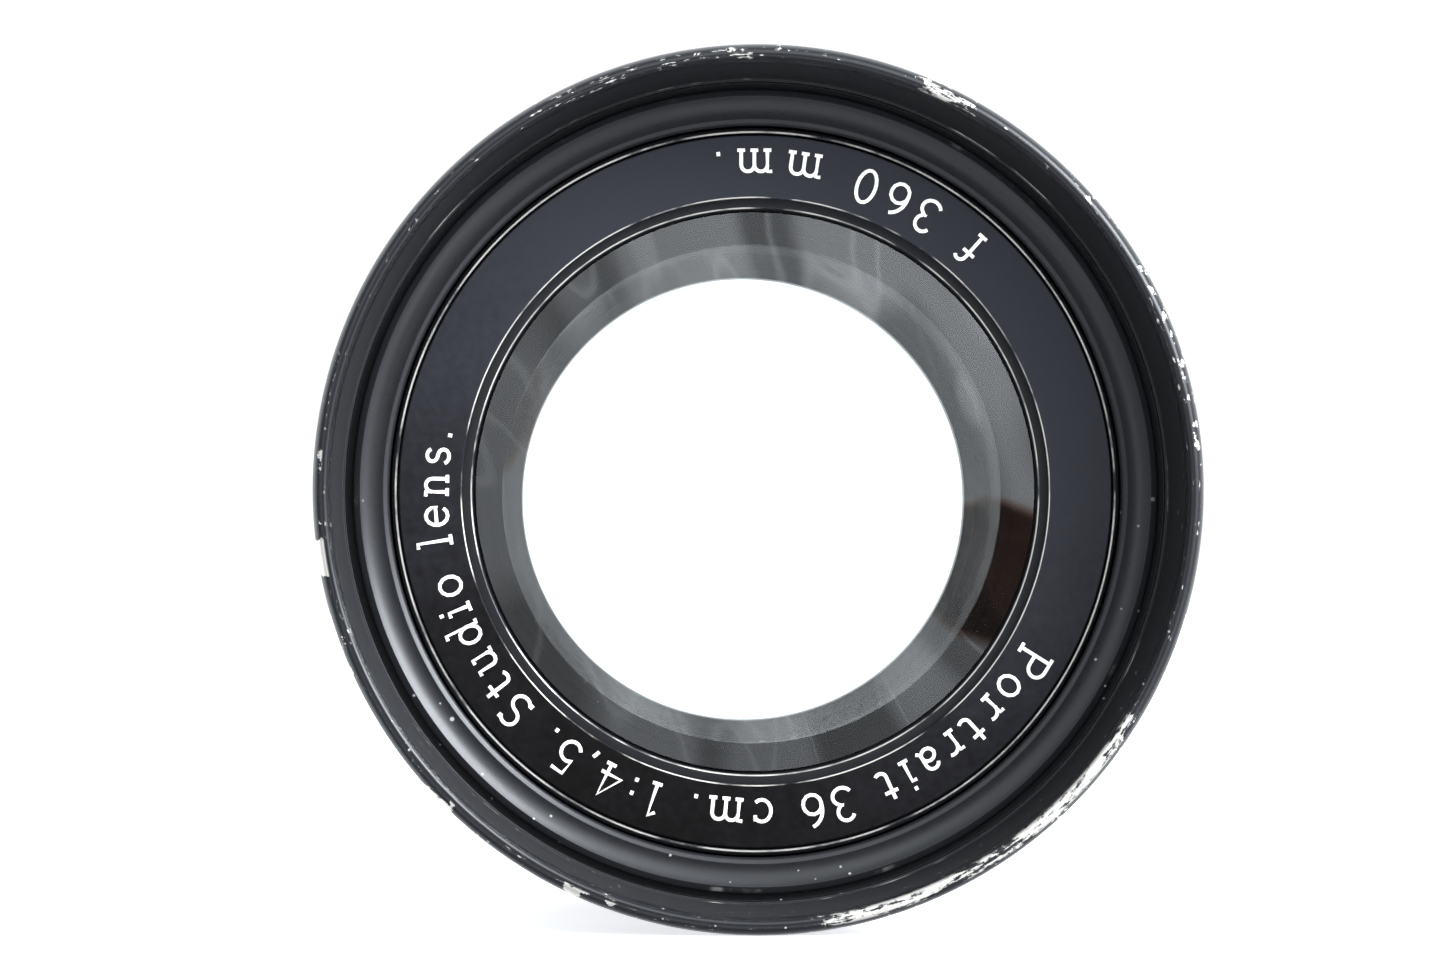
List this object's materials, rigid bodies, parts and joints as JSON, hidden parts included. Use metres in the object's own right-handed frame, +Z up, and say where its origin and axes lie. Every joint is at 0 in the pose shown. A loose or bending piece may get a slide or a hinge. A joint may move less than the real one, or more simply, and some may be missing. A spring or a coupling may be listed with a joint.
{
  "type": "portrait lens",
  "caption": "Large black-lacquered brass barrel lens for a studio camera, with a flared front hood, an engraved ring, glass groups, a working iris and a mounting flange.",
  "frame": {"origin": "on the optical axis, half-way along the lens between the front of the bead and the rear end, which is the centre of its box", "axes": "+Y runs along the optical axis from the front of the lens to its rear, +Z is up as the lens lies on its side, and +X is to the right seen from the front"},
  "size_m": [0.128, 0.111, 0.128],
  "materials": {
    "black_lacquered_brass": "black stove lacquer on turned brass, semi-gloss, worn through to pale brass on the front bead and at thin edges",
    "engraved_satin_black": "satin black, with engraved letters filled in warm white",
    "inner_matt_black": "matt black, against reflections",
    "lens_glass": "polished uncoated optical glass, a little dusty in front",
    "blade_steel": "thin blackened steel",
    "screw_steel": "blued steel, slotted heads"
  },
  "bodies": {
    "barrel": {"main_barrel": "black_lacquered_brass", "front_hood": "black_lacquered_brass", "front_cell": "black_lacquered_brass", "name_ring": "engraved_satin_black", "front_retaining_ring": "black_lacquered_brass", "front_crown_lens": "lens_glass", "front_flint_lens": "lens_glass", "middle_cell": "inner_matt_black", "middle_retaining_ring": "inner_matt_black", "middle_element": "lens_glass", "iris_clamp_ring": "inner_matt_black", "iris_base_ring": "inner_matt_black", "iris_base_screw_1": "screw_steel", "iris_base_screw_2": "screw_steel", "iris_base_screw_3": "screw_steel", "collar_ring": "black_lacquered_brass", "flange_ring": "black_lacquered_brass", "rear_cell": "black_lacquered_brass", "rear_retaining_ring": "black_lacquered_brass", "rear_flint_lens": "lens_glass", "rear_crown_lens": "lens_glass"},
    "aperture_control": {"aperture_ring": "black_lacquered_brass", "iris_cam_ring": "inner_matt_black", "drive_screw_1": "screw_steel", "drive_screw_2": "screw_steel"},
    "blade_01": {"iris_blade_01": "blade_steel"},
    "blade_02": {"iris_blade_02": "blade_steel"},
    "blade_03": {"iris_blade_03": "blade_steel"},
    "blade_04": {"iris_blade_04": "blade_steel"},
    "blade_05": {"iris_blade_05": "blade_steel"},
    "blade_06": {"iris_blade_06": "blade_steel"},
    "blade_07": {"iris_blade_07": "blade_steel"},
    "blade_08": {"iris_blade_08": "blade_steel"},
    "blade_09": {"iris_blade_09": "blade_steel"},
    "blade_10": {"iris_blade_10": "blade_steel"},
    "blade_11": {"iris_blade_11": "blade_steel"},
    "blade_12": {"iris_blade_12": "blade_steel"},
    "blade_13": {"iris_blade_13": "blade_steel"},
    "blade_14": {"iris_blade_14": "blade_steel"},
    "blade_15": {"iris_blade_15": "blade_steel"},
    "blade_16": {"iris_blade_16": "blade_steel"}
  },
  "joints": [
    {"name": "aperture_turn", "type": "hinge", "parent": "barrel", "child": "aperture_control", "pos_m": [0, 0, 0], "axis": [0, -1, 0], "range_deg": [0, 70.6]},
    {"name": "blade_01_swing", "type": "hinge", "parent": "barrel", "child": "blade_01", "pos_m": [0.046, 0.0223, 0], "axis": [0, -1, 0], "range_deg": [0, 34.62]},
    {"name": "blade_02_swing", "type": "hinge", "parent": "barrel", "child": "blade_02", "pos_m": [0.0425, 0.0223, 0.0176], "axis": [0, -1, 0], "range_deg": [0, 34.62]},
    {"name": "blade_03_swing", "type": "hinge", "parent": "barrel", "child": "blade_03", "pos_m": [0.03253, 0.0223, 0.03253], "axis": [0, -1, 0], "range_deg": [0, 34.62]},
    {"name": "blade_04_swing", "type": "hinge", "parent": "barrel", "child": "blade_04", "pos_m": [0.0176, 0.0223, 0.0425], "axis": [0, -1, 0], "range_deg": [0, 34.62]},
    {"name": "blade_05_swing", "type": "hinge", "parent": "barrel", "child": "blade_05", "pos_m": [0, 0.0223, 0.046], "axis": [0, -1, 0], "range_deg": [0, 34.62]},
    {"name": "blade_06_swing", "type": "hinge", "parent": "barrel", "child": "blade_06", "pos_m": [-0.0176, 0.0223, 0.0425], "axis": [0, -1, 0], "range_deg": [0, 34.62]},
    {"name": "blade_07_swing", "type": "hinge", "parent": "barrel", "child": "blade_07", "pos_m": [-0.03253, 0.0223, 0.03253], "axis": [0, -1, 0], "range_deg": [0, 34.62]},
    {"name": "blade_08_swing", "type": "hinge", "parent": "barrel", "child": "blade_08", "pos_m": [-0.0425, 0.0223, 0.0176], "axis": [0, -1, 0], "range_deg": [0, 34.62]},
    {"name": "blade_09_swing", "type": "hinge", "parent": "barrel", "child": "blade_09", "pos_m": [-0.046, 0.0223, 0], "axis": [0, -1, 0], "range_deg": [0, 34.62]},
    {"name": "blade_10_swing", "type": "hinge", "parent": "barrel", "child": "blade_10", "pos_m": [-0.0425, 0.0223, -0.0176], "axis": [0, -1, 0], "range_deg": [0, 34.62]},
    {"name": "blade_11_swing", "type": "hinge", "parent": "barrel", "child": "blade_11", "pos_m": [-0.03253, 0.0223, -0.03253], "axis": [0, -1, 0], "range_deg": [0, 34.62]},
    {"name": "blade_12_swing", "type": "hinge", "parent": "barrel", "child": "blade_12", "pos_m": [-0.0176, 0.0223, -0.0425], "axis": [0, -1, 0], "range_deg": [0, 34.62]},
    {"name": "blade_13_swing", "type": "hinge", "parent": "barrel", "child": "blade_13", "pos_m": [0, 0.0223, -0.046], "axis": [0, -1, 0], "range_deg": [0, 34.62]},
    {"name": "blade_14_swing", "type": "hinge", "parent": "barrel", "child": "blade_14", "pos_m": [0.0176, 0.0223, -0.0425], "axis": [0, -1, 0], "range_deg": [0, 34.62]},
    {"name": "blade_15_swing", "type": "hinge", "parent": "barrel", "child": "blade_15", "pos_m": [0.03253, 0.0223, -0.03253], "axis": [0, -1, 0], "range_deg": [0, 34.62]},
    {"name": "blade_16_swing", "type": "hinge", "parent": "barrel", "child": "blade_16", "pos_m": [0.0425, 0.0223, -0.0176], "axis": [0, -1, 0], "range_deg": [0, 34.62]}
  ],
  "couplings": [
    {"joint": "blade_01_swing", "follows": "aperture_turn", "ratio": 0.48976},
    {"joint": "blade_02_swing", "follows": "aperture_turn", "ratio": 0.48976},
    {"joint": "blade_03_swing", "follows": "aperture_turn", "ratio": 0.48976},
    {"joint": "blade_04_swing", "follows": "aperture_turn", "ratio": 0.48976},
    {"joint": "blade_05_swing", "follows": "aperture_turn", "ratio": 0.48976},
    {"joint": "blade_06_swing", "follows": "aperture_turn", "ratio": 0.48976},
    {"joint": "blade_07_swing", "follows": "aperture_turn", "ratio": 0.48976},
    {"joint": "blade_08_swing", "follows": "aperture_turn", "ratio": 0.48976},
    {"joint": "blade_09_swing", "follows": "aperture_turn", "ratio": 0.48976},
    {"joint": "blade_10_swing", "follows": "aperture_turn", "ratio": 0.48976},
    {"joint": "blade_11_swing", "follows": "aperture_turn", "ratio": 0.48976},
    {"joint": "blade_12_swing", "follows": "aperture_turn", "ratio": 0.48976},
    {"joint": "blade_13_swing", "follows": "aperture_turn", "ratio": 0.48976},
    {"joint": "blade_14_swing", "follows": "aperture_turn", "ratio": 0.48976},
    {"joint": "blade_15_swing", "follows": "aperture_turn", "ratio": 0.48976},
    {"joint": "blade_16_swing", "follows": "aperture_turn", "ratio": 0.48976}
  ]
}
